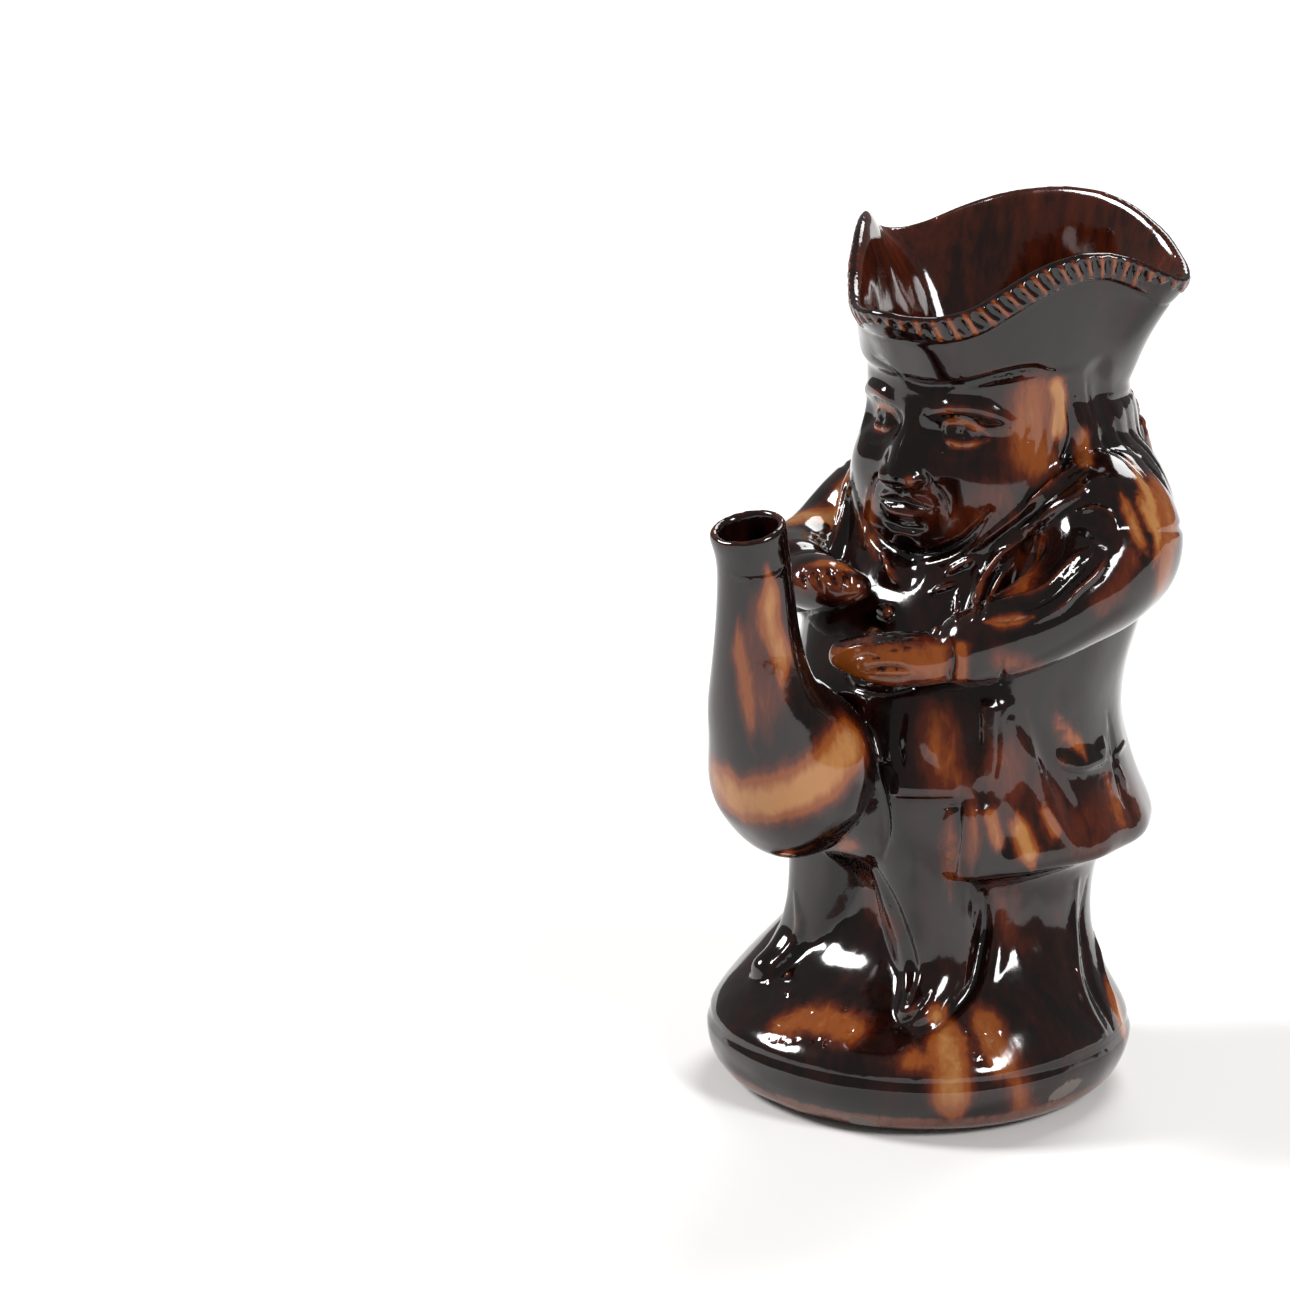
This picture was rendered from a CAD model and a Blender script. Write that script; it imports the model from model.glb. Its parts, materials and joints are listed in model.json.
import json
import math

import bpy
import numpy as np
from bpy.props import FloatProperty, IntProperty, PointerProperty, StringProperty
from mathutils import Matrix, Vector
from mathutils.bvhtree import BVHTree

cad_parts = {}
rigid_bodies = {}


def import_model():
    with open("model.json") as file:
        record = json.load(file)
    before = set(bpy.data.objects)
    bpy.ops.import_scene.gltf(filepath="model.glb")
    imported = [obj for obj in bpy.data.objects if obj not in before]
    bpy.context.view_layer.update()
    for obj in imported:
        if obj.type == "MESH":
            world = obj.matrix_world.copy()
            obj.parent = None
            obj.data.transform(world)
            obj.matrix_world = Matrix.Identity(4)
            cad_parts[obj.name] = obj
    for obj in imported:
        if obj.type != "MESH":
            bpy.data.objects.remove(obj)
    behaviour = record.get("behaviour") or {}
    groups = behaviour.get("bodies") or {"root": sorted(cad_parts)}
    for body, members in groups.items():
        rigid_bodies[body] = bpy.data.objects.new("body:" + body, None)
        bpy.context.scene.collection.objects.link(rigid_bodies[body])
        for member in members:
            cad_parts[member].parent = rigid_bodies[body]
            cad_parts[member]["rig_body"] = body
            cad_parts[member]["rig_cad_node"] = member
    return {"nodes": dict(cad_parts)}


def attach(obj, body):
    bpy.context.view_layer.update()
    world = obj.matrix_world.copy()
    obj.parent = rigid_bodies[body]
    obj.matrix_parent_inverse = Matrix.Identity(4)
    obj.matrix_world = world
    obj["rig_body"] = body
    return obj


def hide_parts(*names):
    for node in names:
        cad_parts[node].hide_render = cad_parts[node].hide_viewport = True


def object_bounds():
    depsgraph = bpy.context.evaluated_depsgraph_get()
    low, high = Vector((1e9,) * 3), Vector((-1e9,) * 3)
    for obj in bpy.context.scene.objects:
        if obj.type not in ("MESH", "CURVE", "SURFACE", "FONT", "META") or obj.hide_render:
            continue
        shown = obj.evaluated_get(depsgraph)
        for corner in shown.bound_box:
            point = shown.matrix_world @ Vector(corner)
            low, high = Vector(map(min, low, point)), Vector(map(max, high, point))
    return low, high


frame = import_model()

CAD_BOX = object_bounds()

bl_info = {
    "name": "Treacle-glazed toby jug",
    "version": (1, 0, 0),
    "blender": (4, 5, 0),
    "location": "View3D > Sidebar > Toby jug",
    "description": "Models the moulded relief and the running glaze of a toby jug over its plain solid",
    "category": "Object",
}

MM = 0.001
PIECE = "toby_jug"
NODE = "jug"
BODY = "root"

# The photograph's frame in pixels, and where the camera stood
PHOTO_SIDE = 1290
PHOTO_FOCAL = 5138.0
SENSOR_WIDTH = 36.0
AIM = Vector((0.0, 10.0, 118.0)) * MM
AIM_PIXEL = (948, 651)
CAMERA_AZIMUTH = math.radians(39)
CAMERA_ELEVATION = math.radians(16)
CAMERA_DISTANCE = 1.4

# Heights and places of the figure in millimetres
HEAD_SHIFT = 2.2
NECK_Z = 140
TEMPLE_Z = 185
HAT_MIDDLE = (2.2, 20)
HAT_FOOT_Z = 198
BROW_Z = 190
EYES_Z = 184.5
NOSE_TIP_Z = 170
LIPS_Z = 163.5
FACE_FRONT_Y = -52
FIGURE_MIDDLE_Y = 20
ABOVE_ALL_Z = 260
BESIDE_ALL = 0.13  # in metres

# The braid under the rim of the hat: its steps, edges and depth in millimetres
BRAID_STEP = 4.0
BRAID_TOP = 1.3
BRAID_FOOT = 7.0
BRAID_LIFT = 0.45
BRAID_DEPTH = 0.95
BRAID_LEAN = 0.3
BRAID_REACH = 12
NOTCH_FULLNESS = 1.15
NOTCH_HALF_WIDTH = 0.36  # as a share of a step
NOTCH_HALF_LENGTH = 0.46  # as a share of the braid's height
UNDERCUT_BELOW = 1.8
UNDERCUT_REACH = 1.8
UNDERCUT_DEPTH = 0.25

# The crest of the hat's rim
RIM_SECTORS = 90
HAT_REACH = 80
CREST_BAND = 0.5
RIM_SOFTENING_REACH = 3.5
RIM_SOFTENING_ROUNDS = 24

# How strokes, layers and runs of glaze fade at their ends and sides
SHORT_STROKE = 3  # one shorter than this many times its reach doesn't fade
END_FULLNESS = 0.3
END_WIDTH = 0.4
END_SHARE = 0.3
LAYER_SLOPE = 0.8
LAYER_END_SHARE = 0.15
RUN_REACH = 0.75
RUN_CORE = 0.1

# Unevenness of the pressed clay, and the evening-out that relief is measured against
WAVES = 9
WAVE_TURNS = (200, 520)  # radians in a metre
EVENING_ROUNDS = 21
DIMPLE_WIDTH = 2.8
DIMPLE_DEPTH = 0.22
FLAT_FOOT = 0.3

# The axis of the hollow, which leans back from the foot to the neck, and where no view reaches the inside
AXIS_FOOT_Y = 4
AXIS_FOOT_Z = 20
AXIS_LEAN = 0.19
AXIS_TOP_Y = 28
HOLLOW_FOOT_Z = 12
HIDDEN_BELOW_Z = 185
MOST_TRIANGLES = 199000

# The runs of glaze on the sides the photograph doesn't show: degrees from the front, and millimetres
DRIPS = 34
DRIP_ANGLES = (132, 318)
DRIP_TOPS = (176, 166, 150, 112, 96, 60, 30)
DRIP_DRIFT = 6
DRIP_LENGTHS = (10, 38)
DRIP_WIDTHS = (4, 14)
DRIP_THINNESS = (0.3, 0.9)
DRIP_FOOT_Z = 4
SEED = 7

# How thin the glaze lies, as the runs below count it
INSIDE_THIN = 0.22
BRAID_THIN = 0.6
RIDGE_THIN = 0.36
GROOVE_THICK = 0.2
RIDGE_RISE = (0.2, 0.7)  # how far a ridge stands proud before it thins, and where it is thinnest
GROOVE_DROP = (0.15, 0.6)
WIPED_Z = (6, 10)
FACING_DOWN = -0.9

# Widths of the glaze's patterns in millimetres
STREAK_WIDTH = 3.5
CLOUD_WIDTH = 20
SPECK_WIDTH = 1.2
LUMP_WIDTH = 7
RIPPLE_WIDTH = 2.6

# Lamps: name, place in metres, the setting that holds its strength, and its width in the sky in degrees
LAMPS = (
    ("left_light", (-1.5, -0.9, 1.5), "key_strength", 18),
    ("right_light", (1.6, 0.0, 1.3), "side_strength", 18),
    ("back_light", (-0.5, 1.4, 1.7), "back_strength", 30),
)

# Relief. Each stroke is a way of placing its line, the line's corners, a width and a height in millimetres.
# seen: pixels of the photograph; front: x from the middle of the face, and z; around: degrees from the
# front, and z; above: x and y looked down on
FACE_HALF = [
    ("front", [(7, EYES_Z), (14, EYES_Z + 0.5), (21, EYES_Z - 1)], 12, -1.8),
    ("front", [(11, EYES_Z - 0.3), (13.5, EYES_Z), (16, EYES_Z - 0.4)], 7.6, 2.3),
    ("front", [(6, BROW_Z - 1.5), (12, BROW_Z + 1.2), (19, BROW_Z + 1.2), (25, BROW_Z - 2)], 6.5, 1.2),
    ("front", [(7, EYES_Z - 0.6), (10, EYES_Z + 1.8), (14, EYES_Z + 2.3), (20.5, EYES_Z - 1.6)], 2.4, 1.3),
    ("front", [(7.5, EYES_Z + 1.8), (11, EYES_Z + 4.2), (15, EYES_Z + 4.4), (20, EYES_Z + 2.2)], 2.2, -1.0),
    ("front", [(7.5, EYES_Z - 1.2), (11, EYES_Z - 2.7), (15, EYES_Z - 3), (20, EYES_Z - 1.8)], 2.2, 1.0),
    ("front", [(13.4, EYES_Z - 0.3)], 3, -0.55),
    ("front", [(9, EYES_Z - 5), (14, EYES_Z - 6.2), (19, EYES_Z - 5)], 3, -0.45),
    ("front", [(4.6, NOSE_TIP_Z + 1.5)], 7, 1.5),
    ("front", [(6.8, NOSE_TIP_Z + 4), (8, NOSE_TIP_Z + 1), (6.6, NOSE_TIP_Z - 1.2)], 2.4, -1.0),
    ("front", [(9, NOSE_TIP_Z + 1), (12.5, NOSE_TIP_Z - 3.5), (13.5, LIPS_Z - 1)], 3.2, -0.7),
    ("front", [(18, 172)], 22, 1.3),
    ("front", [(0.4, LIPS_Z + 2.4), (2.6, LIPS_Z + 2.9), (6, LIPS_Z + 1.8), (9, LIPS_Z + 0.4)], 3.6, 0.8),
]
FACE = [
    ("front", [(-9.5, LIPS_Z + 0.2), (-4, LIPS_Z), (0, LIPS_Z + 0.5), (4, LIPS_Z),
     (9.5, LIPS_Z + 0.2)], 2, -1.5),
    ("front", [(-8, LIPS_Z - 1), (-4, LIPS_Z - 2.4), (0, LIPS_Z - 2.6), (4, LIPS_Z - 2.4),
     (8, LIPS_Z - 1)], 4.4, 1.0),
    ("front", [(-7, LIPS_Z - 5.8), (0, LIPS_Z - 6.6), (7, LIPS_Z - 5.8)], 3.6, -1.0),
    ("front", [(0, NOSE_TIP_Z - 1.5), (0, LIPS_Z + 3.2)], 2, -0.5),
    ("front", [(-24, 164), (-17, 155), (-9, 150.6), (0, 149.4), (9, 150.6), (17, 155), (24, 164)], 5, -2.2),
]
HAIR = [
    ("seen", [(1064, 384), (1069, 410), (1071, 439), (1056, 481)], 3.4, -1.1),
    ("seen", [(1075, 400), (1082, 434), (1088, 468)], 5, 0.8),
    ("seen", [(1020, 396), (1026, 425), (1020, 455)], 3, -0.4),
    ("seen", [(1036, 392), (1043, 425), (1036, 465)], 3, -0.45),
    ("seen", [(1051, 390), (1057, 420), (1050, 465)], 2.6, -0.4),
    ("seen", [(1098, 372), (1102, 400), (1110, 428)], 12, -1.0),
    ("seen", [(1088, 376), (1090, 400), (1096, 430)], 3, -0.4),
    ("seen", [(1030, 440)], 2.2, -0.5),
    ("around", [(78, 163), (100, 159), (130, 157), (160, 156)], 4, -0.6),
    ("around", [(282, 163), (260, 159), (230, 157), (200, 156)], 4, -0.6),
]
HAIR += [
    ("around", [(angle, 188), (angle + 2, 180), (angle - 1, 172), (angle + 1, 165)], 4, -0.6)
    for angle in range(96, 290, 10)
]
HAT = [
    ("seen", [(874, 357), (895, 372), (913, 384), (934, 387), (970, 383), (1000, 375), (1030, 369),
     (1054, 372)], 3, -0.9),
    ("around", [(75, 193), (105, 190), (140, 189), (180, 189), (220, 189), (255, 190),
     (285, 193)], 3.2, -0.6),
]
COAT = [
    ("seen", [(1082, 465), (1061, 476), (1043, 492), (1022, 510), (1004, 525), (967, 554)], 3.6, 1.3),
    ("seen", [(1087, 471), (1066, 487), (1046, 503), (1026, 521), (1008, 536)], 3, -0.7),
    ("seen", [(1025, 538), (1004, 552), (993, 565), (983, 583), (978, 599), (974, 620)], 3.4, 1.4),
    ("seen", [(1017, 553), (1003, 566), (991, 583), (984, 601), (979, 620)], 2.4, -0.9),
    ("seen", [(1011, 567), (998, 582), (990, 600), (986, 620)], 3, 1.1),
    ("seen", [(962, 583), (957, 599), (956, 620)], 3, 1.1),
    ("seen", [(975, 557), (957, 567), (946, 575)], 3.4, 1.2),
    ("seen", [(960, 583), (944, 588), (931, 593)], 3, 1.0),
    ("seen", [(905, 548), (908, 575)], 10, -1.8),
    ("seen", [(883, 534), (885, 554), (892, 575), (903, 587)], 3.2, 1.2),
    ("seen", [(888, 613)], 5, 1.5),
    ("seen", [(875, 633)], 4.6, 1.4),
    ("seen", [(856, 468), (848, 496), (842, 523), (829, 554)], 3, 1.0),
    ("seen", [(848, 478), (840, 505), (831, 536)], 2.6, -0.9),
    ("seen", [(872, 480), (867, 510), (866, 545)], 3.2, 1.0),
    ("seen", [(1090, 549), (1077, 557), (1061, 573), (1048, 586), (1030, 595), (1009, 600),
     (991, 604)], 3.4, 1.3),
    ("seen", [(1096, 553), (1084, 566), (1068, 582), (1053, 596), (1034, 606), (1012, 611)], 2.8, -0.9),
    ("seen", [(1101, 549), (1106, 557), (1095, 575), (1077, 591), (1061, 607), (1035, 622)], 3.2, 1.2),
    ("seen", [(1084, 522), (1096, 530), (1108, 540)], 8, -1.2),
    ("seen", [(1078, 512), (1094, 508), (1110, 514), (1118, 528)], 3, 0.8),
    ("seen", [(1043, 526)], 2.4, -0.8),
    ("seen", [(983, 622), (1010, 622), (1035, 616)], 2.6, -0.8),
    ("seen", [(950, 641), (953, 661), (950, 682)], 2, -0.9),
    ("seen", [(959, 644), (962, 662), (959, 684)], 4.4, 0.5),
    ("seen", [(999, 655), (1003, 670), (1001, 686)], 2.2, -0.8),
    ("seen", [(996, 700), (997, 731), (996, 762), (991, 790)], 1.8, -0.45),
    ("seen", [(978, 802), (978, 833), (974, 876)], 1.8, -0.45),
    ("seen", [(944, 807), (950, 808), (958, 806)], 2.2, -0.8),
    ("seen", [(1115, 758), (1121, 774), (1127, 790)], 2.6, 0.8),
    ("seen", [(1115, 756), (1120, 748), (1125, 739)], 2.4, 0.6),
    ("seen", [(1011, 721), (1023, 747), (1044, 790), (1056, 819), (1076, 849)], 7, 0.9),
    ("seen", [(1030, 712), (1042, 745), (1062, 790), (1090, 840)], 7, -0.9),
    ("seen", [(1108, 715), (1112, 745), (1122, 790), (1134, 822)], 5, -0.7),
    ("seen", [(1000, 800), (1008, 835), (1014, 866)], 7, -0.5),
    ("seen", [(930, 715), (928, 740), (938, 765)], 6, 0.6),
    ("seen", [(905, 705), (898, 740), (902, 770)], 5, -0.5),
]
for angle in (138, 158, 202, 222, 242, 262, 282, 300):
    COAT.append(("around", [(angle, 80), (angle + 2, 95), (angle + 3, 112)], 9, -0.8))
    COAT.append(("around", [(angle + 9, 79), (angle + 10, 94), (angle + 10, 106)], 8, 0.7))
COAT += [
    ("around", [(180, 76), (180, 96), (180, 118)], 2.4, -1.1),
    ("around", [(258, 97), (272, 95), (286, 98)], 2.4, 0.8),
]
HANDS = [
    ("seen", [(858, 673), (869, 669), (887, 666), (903, 668), (917, 672)], 2, -0.9),
    ("seen", [(860, 676), (885, 679), (903, 678), (917, 673)], 2, -0.9),
    ("seen", [(866, 673), (885, 672), (905, 672)], 2.6, 0.6),
    ("seen", [(848, 662), (864, 655), (885, 658)], 2, -0.6),
    ("seen", [(846, 669), (851, 685), (874, 692), (897, 691), (943, 678)], 2.2, -0.6),
    ("seen", [(836, 656), (853, 648), (885, 645), (918, 641)], 3, 0.7),
    ("seen", [(937, 631)], 4.2, 1.3),
    ("seen", [(802, 570), (803, 579), (805, 587)], 2, -1.0),
    ("seen", [(816, 569), (818, 581), (823, 593)], 2, -1.0),
    ("seen", [(828, 566), (832, 578), (840, 589)], 2, -1.0),
    ("seen", [(844, 569), (850, 578), (850, 589)], 2, -0.9),
    ("seen", [(809, 572), (812, 588)], 2.6, 0.6),
    ("seen", [(823, 572), (828, 590)], 2.6, 0.6),
    ("seen", [(837, 573), (842, 585)], 2.6, 0.5),
    ("seen", [(820, 618), (845, 606), (866, 592)], 2.2, -0.6),
]
FOOT = [
    ("seen", [(983, 893), (985, 921), (981, 949), (972, 985), (954, 1010), (936, 1031)], 6, -2.0),
    ("seen", [(996, 893), (999, 925), (996, 955), (990, 985)], 8, 0.8),
    ("seen", [(871, 860), (884, 888), (898, 918), (912, 967), (908, 1000)], 6, -1.4),
    ("seen", [(896, 1028), (912, 1018), (926, 1004), (933, 991)], 3.2, -0.9),
    ("seen", [(789, 976)], 4.2, 1.3),
    ("seen", [(789, 994)], 3.2, 0.7),
    ("seen", [(795, 893), (800, 925), (790, 948), (773, 967), (769, 982)], 4.5, 1.0),
    ("seen", [(1078, 881), (1073, 927), (1081, 991), (1105, 1034)], 6, 1.0),
    ("seen", [(1087, 880), (1082, 924), (1091, 980), (1113, 1028)], 5, -1.0),
    ("seen", [(1096, 875), (1093, 921), (1101, 967), (1121, 1022)], 5, 1.0),
    ("seen", [(1030, 893), (1028, 930), (1036, 970)], 10, -0.6),
]
for angle, height in ((140, -0.8), (163, 0.6), (196, -0.8), (222, 0.6), (246, -0.8), (272, 0.6)):
    FOOT.append(("around", [(angle, 26), (angle + 1, 42), (angle + 1, 60)], 6, height))
FOOT += [
    ("around", [(angle, 17) for angle in range(-180, 181, 10)], 4.5, -0.45),
]
SPOUT_AND_HANDLE = [
    ("seen", [(868, 737), (876, 758), (880, 782), (886, 807), (888, 835), (882, 858)], 3, -1.2),
    ("seen", [(731, 574), (748, 580), (775, 576), (787, 563)], 2, 0.5),
]
for y in (74, 78.5, 83, 87.5):
    SPOUT_AND_HANDLE.append(("above", [(-9, y), (0, y + 1.2), (9, y)], 2.6, -1.2))
    SPOUT_AND_HANDLE.append(("above", [(-9, y + 2.2), (0, y + 3.4), (9, y + 2.2)], 2.6, 0.6))
STROKES = (
    FACE_HALF + [(way, [(-x, z) for x, z in line], width, height) for way, line, width, height in FACE_HALF]
    + FACE + HAIR + HAT + COAT + HANDS + FOOT + SPOUT_AND_HANDLE
)

# Edges of layers: the line, then how high the layer on its left side stands and how far that fades away
EDGES = [
    ("seen", [(874, 352), (895, 367), (913, 379), (934, 382), (970, 378), (1000, 370), (1030, 364),
     (1054, 367)], 1.0, 16),
    ("seen", [(1020, 541), (1035, 531), (1061, 510), (1085, 494), (1092, 478)], 1.2, 6),
    ("seen", [(980, 696), (981, 731), (980, 762), (974, 788)], 1.3, 12),
    ("seen", [(962, 800), (962, 833), (958, 864), (956, 880)], 1.5, 12),
    ("seen", [(890, 796), (926, 797), (962, 797)], 1.0, 8),
    ("seen", [(1057, 747), (1057, 762), (1064, 769), (1080, 771), (1095, 767), (1104, 760),
     (1103, 731)], 1.1, 8),
    ("seen", [(983, 583), (980, 560), (964, 556)], 0.6, 5),
]

# Dimpled patches on the foot: left, top, right and bottom pixels, and how many dimples
DIMPLES = [(770, 1004, 862, 1046, 46), (908, 1046, 963, 1077, 20), (966, 1010, 1003, 1065, 22)]

# Runs of thin glaze: the line, a width in millimetres, and how thin: 0.3 red-brown, 0.6 amber, 0.9 tan
RUNS = [
    ("seen", [(1127, 458), (1140, 478), (1150, 499), (1156, 523), (1158, 546), (1153, 567)], 5, 0.95),
    ("seen", [(1120, 492), (1130, 515), (1140, 541), (1150, 557)], 4.5, 0.75),
    ("seen", [(1137, 492), (1148, 515), (1156, 539)], 5, 0.9),
    ("seen", [(1160, 486), (1170, 530), (1164, 583)], 12, 0.62),
    ("seen", [(1130, 560), (1120, 585), (1100, 605)], 8, 0.35),
    ("seen", [(1035, 395), (1030, 430), (1035, 460)], 15, 0.55),
    ("seen", [(1056, 385), (1061, 405), (1057, 430)], 6, 1.0),
    ("seen", [(1082, 436), (1084, 462)], 6, 0.65),
    ("seen", [(766, 566), (770, 589), (770, 623), (782, 658), (782, 694)], 8, 0.85),
    ("seen", [(739, 616), (740, 649), (745, 681), (750, 727), (751, 750)], 6, 0.6),
    ("seen", [(755, 600), (760, 650), (765, 700), (766, 740)], 14, 0.35),
    ("seen", [(720, 785), (745, 800), (785, 795), (825, 775), (850, 745)], 17, 0.85),
    ("seen", [(766, 803), (790, 796), (819, 780)], 12, 1.0),
    ("seen", [(832, 850), (850, 845), (864, 842)], 4.5, 0.6),
    ("seen", [(766, 855), (778, 858), (789, 852)], 4, 0.5),
    ("seen", [(1056, 711), (1064, 731), (1080, 747), (1087, 760)], 5, 0.7),
    ("seen", [(991, 815), (995, 831), (999, 843)], 5, 0.65),
    ("seen", [(1017, 811), (1021, 831), (1029, 853), (1033, 870)], 7, 0.95),
    ("seen", [(1044, 811), (1056, 833)], 5, 0.7),
    ("seen", [(1109, 778), (1115, 798), (1123, 823)], 6, 0.55),
    ("seen", [(1010, 770), (1050, 815), (1090, 830), (1130, 800)], 22, 0.28),
    ("seen", [(938, 718), (942, 745), (948, 776)], 13, 0.42),
    ("seen", [(950, 807), (952, 850), (950, 900)], 6, 0.4),
    ("seen", [(973, 790), (973, 830), (970, 874)], 6, 0.36),
    ("seen", [(1040, 545), (1030, 565), (1020, 588)], 10, 0.45),
    ("seen", [(985, 622), (1010, 622), (1033, 617)], 5, 0.65),
    ("seen", [(840, 668), (880, 664), (930, 664)], 17, 0.5),
    ("seen", [(961, 648), (962, 662), (960, 676)], 4.5, 0.6),
    ("seen", [(1000, 660), (1030, 668)], 8, 0.4),
    ("seen", [(802, 566), (830, 563), (856, 572)], 5, 0.65),
    ("seen", [(806, 580), (830, 582), (850, 590)], 10, 0.45),
    ("seen", [(872, 480), (870, 520), (876, 560)], 9, 0.45),
    ("seen", [(930, 500), (960, 520), (990, 500)], 14, 0.3),
    ("seen", [(945, 1010), (948, 1050), (952, 1095), (955, 1130)], 13, 0.78),
    ("seen", [(985, 1020), (995, 1045), (1003, 1063)], 10, 0.62),
    ("seen", [(1010, 1060), (1020, 1095), (1026, 1120)], 10, 0.4),
    ("seen", [(1104, 975), (1120, 1020), (1130, 1060)], 5, 0.7),
    ("seen", [(1112, 985), (1126, 1035), (1131, 1080)], 4.5, 0.85),
    ("seen", [(936, 1016)], 7, 0.85),
    ("seen", [(785, 1024), (815, 1018), (850, 1030)], 13, 0.58),
    ("seen", [(912, 1060), (935, 1062), (958, 1060)], 9, 0.55),
    ("seen", [(1000, 890), (1010, 910), (1018, 940)], 12, 0.2),
    ("seen", [(870, 880), (880, 910), (890, 930)], 10, 0.25),
]
UPPER_LID = [(7, EYES_Z + 0.2), (10.5, EYES_Z + 2.6), (15, EYES_Z + 2.6), (20, EYES_Z - 0.6)]
LOWER_LID = [(8, EYES_Z - 1.6), (11.5, EYES_Z - 3.1), (16, EYES_Z - 3.2), (20, EYES_Z - 1.6)]
for side in (-1, 1):
    RUNS.append(("front", [(side * x, z) for x, z in UPPER_LID], 2.8, 0.62))
    RUNS.append(("front", [(side * x, z) for x, z in LOWER_LID], 2.4, 0.5))

# Rough patches at the foot where the glaze missed the clay
BARE = [
    ("seen", [(858, 1122), (880, 1128), (905, 1130)], 7, 1.0),
    ("seen", [(1046, 1100), (1062, 1092), (1083, 1080)], 6, 1.0),
    ("around", [(205, 5), (216, 6), (228, 4)], 8, 1.0),
]


def camera_place():
    """Where the camera stands, and its forward, right and up directions."""
    level = math.cos(CAMERA_ELEVATION)
    away = Vector((
        math.sin(CAMERA_AZIMUTH) * level,
        -math.cos(CAMERA_AZIMUTH) * level,
        math.sin(CAMERA_ELEVATION),
    ))
    place = AIM + away * CAMERA_DISTANCE
    to_right = (AIM_PIXEL[0] - PHOTO_SIDE / 2) / PHOTO_FOCAL
    to_bottom = (AIM_PIXEL[1] - PHOTO_SIDE / 2) / PHOTO_FOCAL
    look_at = AIM
    for _ in range(4):
        forward = (look_at - place).normalized()
        right = forward.cross(Vector((0, 0, 1))).normalized()
        up = right.cross(forward)
        depth = (AIM - place).dot(forward)
        look_at = AIM - right * depth * to_right + up * depth * to_bottom
    return place, forward, right, up


def smooth_line(corners, step):
    """Points about a step apart on a smooth line through the corners."""
    corners = np.array(corners, float)
    if len(corners) == 1:
        return [corners[0]]
    first = 2 * corners[0] - corners[1]
    last = 2 * corners[-1] - corners[-2]
    held = np.vstack([first, corners, last])
    line = []
    for k in range(1, len(held) - 2):
        before, start, end, after = held[k - 1:k + 3]
        count = max(1, int(np.linalg.norm(end - start) / step))
        for t in np.arange(count) / count:
            bend = (2 * before - 5 * start + 4 * end - after) * t * t
            turn = (3 * start - before - 3 * end + after) * t ** 3
            line.append(0.5 * (2 * start + (end - before) * t + bend + turn))
    line.append(corners[-1])
    return line


def rise(value, start, end):
    """0 up to start, 1 from end, and a smooth slope between."""
    t = np.clip((value - start) / (end - start), 0, 1)
    return t * t * (3 - 2 * t)


def swell(t):
    """The cross-section of a rounded ridge: 1 at t = 0 and 0 from t = 1."""
    return np.clip(1 - t * t, 0, 1) ** 2


def fullness(line, share, reach):
    """1 along a line on the surface and less towards its ends, unless it is a short one."""
    if np.linalg.norm(line[-1][0] - line[0][0]) < SHORT_STROKE * reach:
        return np.ones(len(share))
    middle = rise(share, 0, END_SHARE) * (1 - rise(share, 1 - END_SHARE, 1))
    return END_FULLNESS + (1 - END_FULLNESS) * middle


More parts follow.
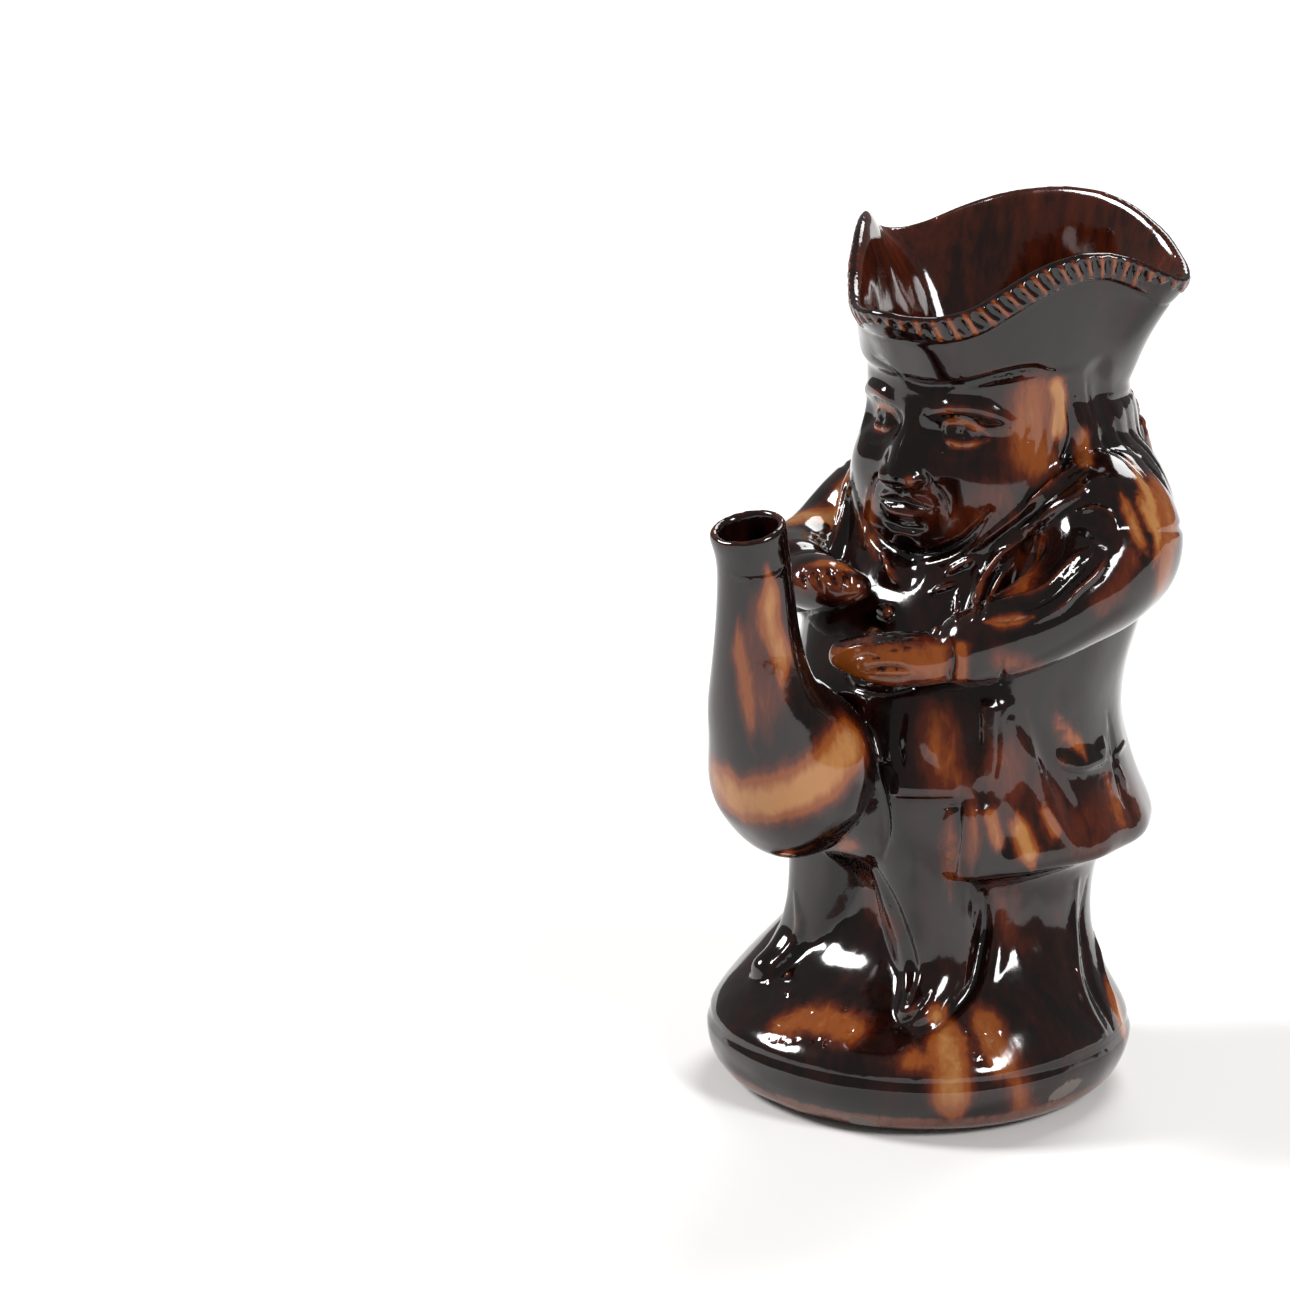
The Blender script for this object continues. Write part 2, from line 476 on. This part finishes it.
class Clay:
    """The jug's surface as arrays, worked with strokes and put back in the mesh."""

    def __init__(self, piece):
        self.piece = piece
        mesh = piece.data
        self.count = len(mesh.vertices)
        self.points = np.empty(self.count * 3)
        self.normals = np.empty(self.count * 3)
        mesh.vertices.foreach_get("co", self.points)
        mesh.vertices.foreach_get("normal", self.normals)
        self.points = self.points.reshape(-1, 3)
        self.normals = self.normals.reshape(-1, 3)
        self.tree = BVHTree.FromObject(piece, bpy.context.evaluated_depsgraph_get())
        self.camera = camera_place()

    def spread(self, values, rounds):
        """Evens values out over neighbouring vertices, round after round."""
        ends = np.empty(len(self.piece.data.edges) * 2, np.int32)
        self.piece.data.edges.foreach_get("vertices", ends)
        one, two = ends.reshape(-1, 2).T
        neighbours = np.bincount(one, minlength=self.count) + np.bincount(two, minlength=self.count)
        neighbours = np.maximum(neighbours, 1)
        for _ in range(rounds):
            total = np.bincount(one, values[two], self.count) + np.bincount(two, values[one], self.count)
            values = 0.5 * values + 0.5 * total / neighbours
        return values

    def cast(self, start, direction):
        """Where a straight look from start first meets the surface, and the surface's direction there."""
        point, normal, _, _ = self.tree.ray_cast(start, direction)
        return None if point is None else (np.array(point), np.array(normal))

    def seen(self, corners):
        """Looks from the camera through pixels of the photograph."""
        place, forward, right, up = self.camera
        for x, y in smooth_line(corners, 4):
            across = (x - PHOTO_SIDE / 2) / PHOTO_FOCAL
            down = (y - PHOTO_SIDE / 2) / PHOTO_FOCAL
            yield place, forward + right * across - up * down

    def front(self, corners):
        """Looks at the face straight from the front."""
        for x, z in smooth_line(corners, 0.8):
            middle = HEAD_SHIFT * float(rise(z, NECK_Z, TEMPLE_Z))
            yield Vector((x + middle, FACE_FRONT_Y, z)) * MM, Vector((0, 1, 0))

    def around(self, corners):
        """Looks at the figure's middle from all sides."""
        for angle, z in smooth_line(corners, 2):
            out = Vector((math.sin(math.radians(angle)), -math.cos(math.radians(angle)), 0))
            yield Vector((0, FIGURE_MIDDLE_Y, z)) * MM + out * BESIDE_ALL, -out

    def above(self, corners):
        """Looks straight down."""
        for x, y in smooth_line(corners, 0.8):
            yield Vector((x, y, ABOVE_ALL_Z)) * MM, Vector((0, 0, -1))

    def line(self, way, corners):
        """A line on the surface, placed in one of the ways above."""
        hits = [self.cast(start, direction) for start, direction in getattr(self, way)(corners)]
        return [hit for hit in hits if hit]

    def near(self, line, reach, facing_limit=0.1):
        """The vertices within reach of a line on the surface: numbers, distance, share along it, side."""
        spots = np.array([hit[0] for hit in line])
        facing = np.array([hit[1] for hit in line])
        inside = ((self.points > spots.min(0) - reach) & (self.points < spots.max(0) + reach)).all(1)
        found = np.nonzero(inside)[0]
        # A lone spot becomes a very short line
        if len(spots) == 1:
            spots = np.vstack([spots, spots + 1e-6])
            facing = np.vstack([facing, facing])
        starts = spots[:-1]
        runs = spots[1:] - starts
        lengths = np.maximum((runs ** 2).sum(1), 1e-14)
        best = np.full(len(found), np.inf)
        share = np.zeros(len(found))
        nearest = np.zeros(len(found), int)
        for k, (start, run, length) in enumerate(zip(starts, runs, lengths)):
            gap = self.points[found] - start
            t = np.clip(gap @ run / length, 0, 1)
            distance = np.linalg.norm(gap - t[:, None] * run, axis=1)
            closer = distance < best
            best[closer] = distance[closer]
            share[closer] = t[closer]
            nearest[closer] = k
        steps = np.sqrt(lengths)
        travelled = np.concatenate([[0], np.cumsum(steps)])
        travel = travelled[nearest] + share * steps[nearest]
        away = self.points[found] - starts[nearest] - runs[nearest] * share[:, None]
        side = np.sign((away * np.cross(facing[nearest], runs[nearest])).sum(1))
        keep = (best < reach) & ((self.normals[found] * facing[nearest]).sum(1) > facing_limit)
        return found[keep], best[keep], travel[keep] / travelled[-1], side[keep]

    def stroke(self, way, corners, width, height):
        """Raises a rounded ridge, or sinks a groove where the height is below 0, along a line."""
        line = self.line(way, corners)
        if line:
            reach = width * MM / 2
            found, distance, share, _ = self.near(line, reach)
            full = fullness(line, share, reach)
            narrowed = END_WIDTH + (1 - END_WIDTH) * full
            lift = height * MM * full * swell(distance / reach / narrowed)
            self.points[found] += self.normals[found] * lift[:, None]

    def edge(self, way, corners, height, fade):
        """Raises the left side of a line as the edge of a layer, which fades away from the line."""
        line = self.line(way, corners)
        if line:
            found, distance, share, side = self.near(line, fade * MM)
            offset = distance * side / MM
            form = rise(offset, -LAYER_SLOPE, LAYER_SLOPE) * (1 - rise(offset, LAYER_SLOPE, fade))
            form = form * rise(share, 0, LAYER_END_SHARE) * (1 - rise(share, 1 - LAYER_END_SHARE, 1))
            lift = height * MM * form
            self.points[found] += self.normals[found] * lift[:, None]

    def coat(self, values, way, corners, width, amount):
        """Marks a soft-edged run along a line in an array of shares."""
        line = self.line(way, corners)
        if line:
            reach = RUN_REACH * width * MM
            found, distance, share, _ = self.near(line, reach)
            full = fullness(line, share, reach)
            amount = amount * (0.5 + 0.5 * full) * (1 - rise(distance / reach / full, RUN_CORE, 1))
            values[found] = np.maximum(values[found], amount)

    def rim(self):
        """The crest of the hat's rim: a closed line of points, each with a direction out and up."""
        sector = 360 / RIM_SECTORS
        x = self.points[:, 0] - HAT_MIDDLE[0] * MM
        y = self.points[:, 1] - HAT_MIDDLE[1] * MM
        high = np.nonzero((self.points[:, 2] > HAT_FOOT_Z * MM) & (np.hypot(x, y) < HAT_REACH * MM))[0]
        turn = (np.degrees(np.arctan2(x[high], -y[high])) % 360 / sector).astype(int)
        crest = []
        for k in range(RIM_SECTORS):
            wedge = high[turn == k]
            top = wedge[self.points[wedge, 2] > self.points[wedge, 2].max() - CREST_BAND * MM]
            crest.append(self.points[top].mean(0))
        crest = np.array(crest + crest[:1])
        corners = np.arange(RIM_SECTORS + 1)
        angles = np.radians((corners + 0.5) * sector)
        out = np.stack([np.sin(angles), -np.cos(angles), np.ones(len(angles))], 1) / math.sqrt(2)
        line = smooth_line(crest, 1.2 * MM)
        places = np.linspace(0, RIM_SECTORS, len(line))
        leaning = np.stack([np.interp(places, corners, out[:, k]) for k in range(3)], 1)
        return list(zip(line, leaning))

    def soften(self, line, reach, rounds):
        """Evens the surface out near a line on it."""
        found, distance, _, _ = self.near(line, reach * MM, -1)
        even = np.stack([self.spread(self.points[:, k], rounds) for k in range(3)], 1)
        share = 1 - rise(distance / MM, 0.6 * reach, reach)
        self.points[found] += (even - self.points)[found] * share[:, None]

    def braid(self):
        """Lays the notched braid below the hat's rim; returns its vertices and how far each is a ridge."""
        line = self.rim()
        self.soften(line, RIM_SOFTENING_REACH, RIM_SOFTENING_ROUNDS)
        found, distance, share, _ = self.near(line, BRAID_REACH * MM)
        spots = np.array([hit[0] for hit in line])
        length = np.linalg.norm(np.diff(spots, axis=0), axis=1).sum() / MM
        steps = round(length / BRAID_STEP)
        down = distance / MM
        middle = (BRAID_TOP + BRAID_FOOT) / 2
        turn = share * steps - BRAID_LEAN * (down - middle) / BRAID_STEP
        aside = np.abs(turn - np.round(turn))
        along = (down - middle) / (NOTCH_HALF_LENGTH * (BRAID_FOOT - BRAID_TOP))
        notch = np.clip(NOTCH_FULLNESS - (aside / NOTCH_HALF_WIDTH) ** 2 - along ** 2, 0, 1)
        band = rise(down, BRAID_TOP - 0.5, BRAID_TOP + 0.5) * (1 - rise(down, BRAID_FOOT, BRAID_FOOT + 1))
        undercut = swell((down - BRAID_FOOT - UNDERCUT_BELOW) / UNDERCUT_REACH)
        lift = BRAID_LIFT * band - BRAID_DEPTH * notch - UNDERCUT_DEPTH * undercut
        self.points[found] += self.normals[found] * (lift * MM)[:, None]
        return found, band * (1 - notch) * rise(aside, 0.2, 0.48)

    def put_back(self):
        """Writes the worked surface into the mesh, inside the plain solid's box and flat underneath."""
        self.points = np.clip(self.points, np.array(CAD_BOX[0]), np.array(CAD_BOX[1]))
        self.points[self.points[:, 2] < FLAT_FOOT * MM, 2] = 0
        self.piece.data.vertices.foreach_set("co", self.points.astype(np.float32).ravel())
        self.piece.data.update()

    def store(self, name, values):
        """Keeps one number a vertex in the mesh, for the materials."""
        attribute = self.piece.data.attributes.get(name)
        if attribute is None:
            attribute = self.piece.data.attributes.new(name, "FLOAT", "POINT")
        attribute.data.foreach_set("value", values.astype(np.float32))


def the_piece():
    """The jug's object, which the first operator makes."""
    return bpy.data.objects[PIECE]


def work_on(piece):
    """Selects the piece alone and makes it active."""
    if bpy.context.object and bpy.context.object.mode != "OBJECT":
        bpy.ops.object.mode_set(mode="OBJECT")
    bpy.ops.object.select_all(action="DESELECT")
    piece.select_set(True)
    bpy.context.view_layer.objects.active = piece


def finish_modifier(piece, kind, **settings):
    """Adds a modifier with its settings and applies it."""
    modifier = piece.modifiers.new(kind.title(), kind)
    for name, value in settings.items():
        setattr(modifier, name, value)
    bpy.ops.object.modifier_apply(modifier=modifier.name)


class JugSizes(bpy.types.PropertyGroup):
    rounding: IntProperty(
        name="Rounding", description="How often the plain solid's faces are halved", default=2, min=1, max=3)
    grain: FloatProperty(
        name="Grain", description="Edge length of the mesh the relief is worked in",
        default=0.65 * MM, unit="LENGTH", precision=5)
    softening: IntProperty(
        name="Softening", description="Rounds of smoothing after the mesh is drawn anew", default=15)
    waviness: FloatProperty(
        name="Waviness", description="Unevenness of the hand-pressed clay", default=0.13 * MM, unit="LENGTH",
        precision=5)
    inside_share: FloatProperty(
        name="Inside share", description="Share of the hidden inside's triangles that is kept", default=0.05)
    triangles: IntProperty(
        name="Triangles", description="Triangles of the finished jug", default=185000)


class GlazeColours(bpy.types.PropertyGroup):
    thick: StringProperty(
        name="Thick glaze", description="Near-black brown where the glaze lies thick", default="#0d0504")
    deep: StringProperty(
        name="Deep glaze", description="Dark red-brown of the common coat", default="#230b06")
    running: StringProperty(
        name="Running glaze", description="Red-brown of a middling coat", default="#521e0c")
    amber: StringProperty(
        name="Amber glaze", description="Where the glaze has run thin", default="#844318")
    tan: StringProperty(
        name="Tan body", description="The buff clay seen through clear glaze", default="#a97442")
    foot: StringProperty(
        name="Foot ring", description="Pinkish clay under a wiped, thin glaze", default="#6b4032")
    clay: StringProperty(
        name="Bare clay", description="Unglazed clay, greyed by handling", default="#6b625c")


class StudioSettings(bpy.types.PropertyGroup):
    floor_side: FloatProperty(
        name="Floor", description="Side of the pale floor", default=24.0, unit="LENGTH")
    key_strength: FloatProperty(
        name="Main light", description="Strength of the soft light at the upper left", default=2.6)
    side_strength: FloatProperty(
        name="Side light", description="Strength of the soft light at the upper right", default=2.0)
    back_strength: FloatProperty(
        name="Back light", description="Strength of the soft light behind", default=1.8)
    world: FloatProperty(
        name="Surroundings", description="Brightness of the pale room", default=0.22)


def select_only(piece, chosen):
    """Leaves exactly the vertices of a true-or-false array selected, in edit mode."""
    bpy.ops.object.mode_set(mode="EDIT")
    bpy.ops.mesh.select_mode(type="VERT")
    bpy.ops.mesh.select_all(action="DESELECT")
    bpy.ops.object.mode_set(mode="OBJECT")
    piece.data.vertices.foreach_set("select", chosen)
    bpy.ops.object.mode_set(mode="EDIT")


def numbers_of(mesh, name):
    """The numbers kept in the mesh under a name, one a vertex."""
    numbers = np.empty(len(mesh.vertices), np.float32)
    mesh.attributes[name].data.foreach_get("value", numbers)
    return numbers


def hidden_inside(mesh, below):
    """True for each vertex of the vessel's inside that lies below a height in millimetres."""
    places = np.empty(len(mesh.vertices) * 3, np.float32)
    mesh.vertices.foreach_get("co", places)
    return (numbers_of(mesh, "inner") > 0.5) & (places.reshape(-1, 3)[:, 2] < below * MM)


def inner_wall(clay):
    """True for each vertex of the hollow's wall, which sees the axis of the vessel freely."""
    z = clay.points[:, 2]
    axis_y = np.clip(AXIS_FOOT_Y * MM + (z - AXIS_FOOT_Z * MM) * AXIS_LEAN, 0, AXIS_TOP_Y * MM)
    middle = np.stack([np.zeros(clay.count), axis_y, np.maximum(z, HOLLOW_FOOT_Z * MM)], 1)
    towards = middle - clay.points
    distance = np.linalg.norm(towards, axis=1)
    towards /= distance[:, None]
    inner = np.zeros(clay.count, bool)
    likely = np.nonzero(((towards * clay.normals).sum(1) > 0.05) & (z > 5 * MM))[0]
    # Each look starts just off the wall and stops short of the axis
    for k in likely:
        start = Vector(clay.points[k] + clay.normals[k] * 0.6 * MM)
        inner[k] = clay.tree.ray_cast(start, Vector(towards[k]), distance[k] - 2 * MM)[0] is None
    return inner


class JUG_OT_form(bpy.types.Operator):
    """Copies the plain solid, rounds its faces off and draws an even mesh over it"""

    bl_idname = "tobyjug.form"
    bl_label = "Form"

    def execute(self, context):
        sizes = context.scene.jug_sizes
        work_on(frame["nodes"][NODE])
        bpy.ops.object.duplicate()
        piece = context.object
        piece.name = PIECE
        piece.parent = None
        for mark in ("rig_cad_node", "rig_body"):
            if mark in piece:
                del piece[mark]
        bpy.ops.object.mode_set(mode="EDIT")
        bpy.ops.mesh.select_all(action="SELECT")
        bpy.ops.mesh.remove_doubles(threshold=0.02 * MM)
        bpy.ops.mesh.customdata_custom_splitnormals_clear()
        bpy.ops.mesh.tris_convert_to_quads(face_threshold=math.radians(60), shape_threshold=math.radians(60))
        bpy.ops.mesh.normals_make_consistent(inside=False)
        bpy.ops.object.mode_set(mode="OBJECT")
        finish_modifier(piece, "SUBSURF", levels=sizes.rounding, render_levels=sizes.rounding)
        finish_modifier(piece, "REMESH", mode="VOXEL", voxel_size=sizes.grain)
        finish_modifier(piece, "SMOOTH", factor=0.5, iterations=sizes.softening)
        bpy.ops.object.shade_smooth()
        return {"FINISHED"}


class JUG_OT_relief(bpy.types.Operator):
    """Works the face, hair, hat braid, dress, hands and foot into the clay"""

    bl_idname = "tobyjug.relief"
    bl_label = "Relief"

    def execute(self, context):
        clay = Clay(the_piece())
        random = np.random.default_rng(SEED)
        for way, corners, width, height in STROKES:
            clay.stroke(way, corners, width, height)
        for way, corners, height, fade in EDGES:
            clay.edge(way, corners, height, fade)
        for left, top, right, bottom, count in DIMPLES:
            for x, y in random.uniform((left, top), (right, bottom), (count, 2)):
                clay.stroke("seen", [(x, y)], DIMPLE_WIDTH, -DIMPLE_DEPTH)
        braid, ridges = clay.braid()
        wave = np.zeros(clay.count)
        for _ in range(WAVES):
            direction = random.normal(size=3)
            direction *= random.uniform(*WAVE_TURNS) / np.linalg.norm(direction)
            wave += np.sin(clay.points @ direction + random.uniform(0, 2 * math.pi)) / math.sqrt(WAVES)
        clay.points += clay.normals * (wave * context.scene.jug_sizes.waviness)[:, None]
        even = np.stack([clay.spread(clay.points[:, k], EVENING_ROUNDS) for k in range(3)], 1)
        relief = ((clay.points - even) * clay.normals).sum(1) / MM
        clay.store("relief", relief)
        ridge = np.zeros(clay.count)
        ridge[braid] = ridges
        clay.store("braid", ridge)
        clay.put_back()
        return {"FINISHED"}


class JUG_OT_runs(bpy.types.Operator):
    """Marks where the glaze ran thin, where it was wiped and where it missed the clay"""

    bl_idname = "tobyjug.runs"
    bl_label = "Glaze runs"

    def execute(self, context):
        piece = the_piece()
        clay = Clay(piece)
        random = np.random.default_rng(SEED)
        relief = numbers_of(piece.data, "relief")
        braid = numbers_of(piece.data, "braid")
        thin = np.zeros(clay.count)
        bare = np.zeros(clay.count)
        for run in RUNS:
            clay.coat(thin, *run)
        for patch in BARE:
            clay.coat(bare, *patch)
        for _ in range(DRIPS):
            angle = random.uniform(*DRIP_ANGLES)
            top = random.choice(DRIP_TOPS) + random.uniform(-DRIP_DRIFT, DRIP_DRIFT)
            length = random.uniform(*DRIP_LENGTHS)
            foot = (angle + random.uniform(-DRIP_DRIFT, DRIP_DRIFT), max(DRIP_FOOT_Z, top - length))
            width = random.uniform(*DRIP_WIDTHS)
            clay.coat(thin, "around", [(angle, top), foot], width, random.uniform(*DRIP_THINNESS))
        inner = inner_wall(clay)
        thin = np.maximum(thin, BRAID_THIN * braid)
        thin = np.maximum(thin, RIDGE_THIN * rise(relief, *RIDGE_RISE))
        thin = thin - GROOVE_THICK * rise(-relief, *GROOVE_DROP)
        thin = np.where(inner, INSIDE_THIN, thin)
        z = clay.points[:, 2] / MM
        facing_down = clay.normals[:, 2] < FACING_DOWN
        wiped = (1 - rise(z, *WIPED_Z)) * ~facing_down
        clay.store("thin", thin)
        clay.store("wiped", wiped)
        clay.store("bare", np.where(facing_down, (z < 3) * 1.0, bare))
        clay.store("inner", inner * 1.0)
        return {"FINISHED"}


class JUG_OT_thinning(bpy.types.Operator):
    """Drops the triangles that the form doesn't need, most of them inside the vessel"""

    bl_idname = "tobyjug.thinning"
    bl_label = "Thinning"

    def execute(self, context):
        sizes = context.scene.jug_sizes
        piece = the_piece()
        mesh = piece.data
        work_on(piece)
        select_only(piece, hidden_inside(mesh, HIDDEN_BELOW_Z))
        bpy.ops.mesh.decimate(ratio=sizes.inside_share)
        bpy.ops.object.mode_set(mode="OBJECT")
        hidden = hidden_inside(mesh, HIDDEN_BELOW_Z - 1)
        total = sum(len(face.vertices) - 2 for face in mesh.polygons)
        kept = np.count_nonzero(hidden) * 2  # a closed mesh has about two triangles a vertex
        select_only(piece, ~hidden)
        bpy.ops.mesh.decimate(ratio=(sizes.triangles - kept) / (total - kept))
        bpy.ops.mesh.select_all(action="SELECT")
        bpy.ops.mesh.quads_convert_to_tris()
        bpy.ops.mesh.normals_make_consistent(inside=False)
        bpy.ops.object.mode_set(mode="OBJECT")
        bpy.ops.object.shade_smooth()
        if len(mesh.polygons) > MOST_TRIANGLES:
            raise RuntimeError("the jug keeps too many triangles")
        return {"FINISHED"}


def srgb(text):
    """Turns a hex colour into the linear red, green, blue and alpha of a shader."""
    shares = [int(text[k:k + 2], 16) / 255 for k in (1, 3, 5)]
    return [s / 12.92 if s <= 0.04045 else ((s + 0.055) / 1.055) ** 2.4 for s in shares] + [1.0]


def add_node(tree, kind, settings=(), values=(), links=()):
    """Adds one shader node, sets it and links its inputs."""
    node = tree.nodes.new("ShaderNode" + kind)
    for name, value in dict(settings).items():
        setattr(node, name, value)
    for name, value in dict(values).items():
        node.inputs[name].default_value = value
    for name, source in dict(links).items():
        tree.links.new(source, node.inputs[name])
    return node


def noise(tree, place, pattern_mm, detail=3.0, roughness=0.55, distortion=0.0):
    """Even noise whose patches are about pattern_mm wide."""
    values = {"Scale": 1000 / pattern_mm, "Detail": detail, "Roughness": roughness, "Distortion": distortion}
    return add_node(tree, "TexNoise", (), values, {"Vector": place}).outputs["Fac"]


def stored(tree, name):
    """A number kept in the mesh."""
    return add_node(tree, "Attribute", {"attribute_name": name}).outputs["Fac"]


def sum_of(tree, share, factor, base):
    """share times factor, plus base."""
    node = add_node(tree, "Math", {"operation": "MULTIPLY_ADD"}, {1: factor}, {0: share, 2: base})
    return node.outputs[0]


def step_of(tree, value, low, high):
    """0 below low and 1 above high, with a smooth change between."""
    limits = {"From Min": low, "From Max": high}
    node = add_node(tree, "MapRange", {"interpolation_type": "SMOOTHSTEP"}, limits, {"Value": value})
    return node.outputs["Result"]


def mix(tree, share, one, two):
    """Mixes two colours, each an output or a plain colour."""
    node = add_node(tree, "Mix", {"data_type": "RGBA"})
    tree.links.new(share, node.inputs[0])
    for socket, source in ((node.inputs[6], one), (node.inputs[7], two)):
        if isinstance(source, list):
            socket.default_value = source
        else:
            tree.links.new(source, socket)
    return node.outputs[2]


def glaze_material(colours):
    """Slip-moulded earthenware under a poured lead glaze stained with manganese and iron.

    The glaze is glass-smooth and nearly black where it pooled, and it shows red-brown, amber and the buff
    clay where it ran thin over ridges and in streaks. Wiped clay at the foot is pinkish, bare clay dull.
    """
    material = bpy.data.materials.new("lead_glazed_earthenware")
    material.use_nodes = True
    tree = material.node_tree
    shader = tree.nodes["Principled BSDF"]
    place = add_node(tree, "TexCoord").outputs["Object"]
    running = add_node(tree, "Mapping", (), {"Scale": (1, 1, 0.3)}, {"Vector": place}).outputs["Vector"]
    streaks = noise(tree, running, STREAK_WIDTH, 4, 0.6, 0.3)
    clouds = noise(tree, running, CLOUD_WIDTH, 3, 0.5, 0.8)
    level = sum_of(tree, streaks, 0.5, stored(tree, "thin"))
    level = sum_of(tree, clouds, 0.45, level)
    ramp = add_node(tree, "ValToRGB", (), (), {"Fac": level})
    stops = ((0.44, colours.thick), (0.60, colours.deep), (0.82, colours.running), (1.0, colours.amber))
    elements = ramp.color_ramp.elements
    elements[0].position = stops[0][0]
    elements[0].color = srgb(stops[0][1])
    elements[1].position = stops[-1][0]
    elements[1].color = srgb(stops[-1][1])
    for position, colour in stops[1:-1]:
        elements.new(position).color = srgb(colour)
    colour = mix(tree, step_of(tree, level, 1.05, 1.4), ramp.outputs["Color"], srgb(colours.tan))
    speckle = noise(tree, place, SPECK_WIDTH, 2, 0.6)
    wiped = step_of(tree, sum_of(tree, streaks, 0.9, stored(tree, "wiped")), 1.1, 1.5)
    colour = mix(tree, wiped, colour, srgb(colours.foot))
    bare = step_of(tree, sum_of(tree, speckle, 0.6, stored(tree, "bare")), 0.7, 0.95)
    colour = mix(tree, bare, colour, srgb(colours.clay))
    tree.links.new(colour, shader.inputs["Base Color"])
    gloss_range = {"To Min": 0.05, "To Max": 0.13}
    gloss = add_node(tree, "MapRange", (), gloss_range, {"Value": clouds}).outputs["Result"]
    rough = add_node(tree, "Mix", (), {3: 0.85}, {0: bare, 2: gloss}).outputs[0]
    tree.links.new(rough, shader.inputs["Roughness"])
    shader.inputs["IOR"].default_value = 1.56
    lumps = noise(tree, place, LUMP_WIDTH, 2, 0.5)
    grit = add_node(tree, "Math", {"operation": "MULTIPLY"}, (), {0: speckle, 1: bare}).outputs[0]
    ripples = sum_of(tree, noise(tree, place, RIPPLE_WIDTH, 2, 0.5), 0.22, lumps)
    height = sum_of(tree, grit, 2.0, ripples)
    bump = add_node(tree, "Bump", (), {"Strength": 0.6, "Distance": 0.14 * MM}, {"Height": height})
    tree.links.new(bump.outputs["Normal"], shader.inputs["Normal"])
    return material


class JUG_OT_glaze(bpy.types.Operator):
    """Lays the running lead glaze over the jug"""

    bl_idname = "tobyjug.glaze"
    bl_label = "Glaze"

    def execute(self, context):
        piece = the_piece()
        piece.data.materials.clear()
        piece.data.materials.append(glaze_material(context.scene.glaze_colours))
        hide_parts(NODE)
        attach(piece, BODY)
        return {"FINISHED"}


def soft_light(name, place, strength, spread):
    """A far soft lamp that shines evenly from a direction; spread is its width in the sky in degrees."""
    bpy.ops.object.light_add(type="SUN", location=place)
    lamp = bpy.context.object
    lamp.name = name
    lamp.data.energy = strength
    lamp.data.angle = math.radians(spread)
    lamp.rotation_euler = (AIM - Vector(place)).to_track_quat("-Z", "Y").to_euler()


class JUG_OT_studio(bpy.types.Operator):
    """Lays the pale floor, hangs the soft lights and sets the camera"""

    bl_idname = "tobyjug.studio"
    bl_label = "Studio"

    def execute(self, context):
        settings = context.scene.studio_settings
        bpy.ops.object.select_all(action="DESELECT")
        bpy.ops.mesh.primitive_plane_add(size=settings.floor_side, location=(0, 0, 0))
        floor = context.object
        floor.name = "floor"
        paper = bpy.data.materials.new("white_paper_sweep")
        paper.use_nodes = True
        paper.node_tree.nodes["Principled BSDF"].inputs["Base Color"].default_value = srgb("#f4f3f2")
        paper.node_tree.nodes["Principled BSDF"].inputs["Roughness"].default_value = 0.8
        floor.data.materials.append(paper)
        world = bpy.data.worlds.new("pale_room")
        world.use_nodes = True
        world.node_tree.nodes["Background"].inputs["Color"].default_value = srgb("#f6f5f4")
        world.node_tree.nodes["Background"].inputs["Strength"].default_value = settings.world
        context.scene.world = world
        context.scene.view_settings.view_transform = "Standard"
        for name, spot, setting, spread in LAMPS:
            soft_light(name, spot, getattr(settings, setting), spread)
        place, forward, right, up = camera_place()
        bpy.ops.object.camera_add(location=place)
        camera = context.object
        camera.name = "camera"
        camera.rotation_euler = forward.to_track_quat("-Z", "Y").to_euler()
        camera.data.sensor_width = SENSOR_WIDTH
        camera.data.lens = PHOTO_FOCAL / PHOTO_SIDE * SENSOR_WIDTH
        camera.data.clip_start = 0.05
        camera.data.clip_end = 60
        context.scene.camera = camera
        return {"FINISHED"}


STEPS = (JUG_OT_form, JUG_OT_relief, JUG_OT_runs, JUG_OT_thinning, JUG_OT_glaze, JUG_OT_studio)
GROUPS = (JugSizes, GlazeColours, StudioSettings)


class JUG_PT_sidebar(bpy.types.Panel):
    bl_label = "Toby jug"
    bl_idname = "JUG_PT_sidebar"
    bl_space_type = "VIEW_3D"
    bl_region_type = "UI"
    bl_category = "Toby jug"

    def draw(self, context):
        for step in STEPS:
            self.layout.operator(step.bl_idname)
        for group in (context.scene.jug_sizes, context.scene.glaze_colours, context.scene.studio_settings):
            for name in group.__annotations__:
                self.layout.prop(group, name)


def register():
    for item in (*GROUPS, *STEPS, JUG_PT_sidebar):
        bpy.utils.register_class(item)
    bpy.types.Scene.jug_sizes = PointerProperty(type=JugSizes)
    bpy.types.Scene.glaze_colours = PointerProperty(type=GlazeColours)
    bpy.types.Scene.studio_settings = PointerProperty(type=StudioSettings)


def unregister():
    for name in ("jug_sizes", "glaze_colours", "studio_settings"):
        delattr(bpy.types.Scene, name)
    for item in reversed((*GROUPS, *STEPS, JUG_PT_sidebar)):
        bpy.utils.unregister_class(item)


def main():
    register()
    for step in STEPS:
        group, name = step.bl_idname.split(".")
        getattr(getattr(bpy.ops, group), name)()


if __name__ == "__main__":
    main()
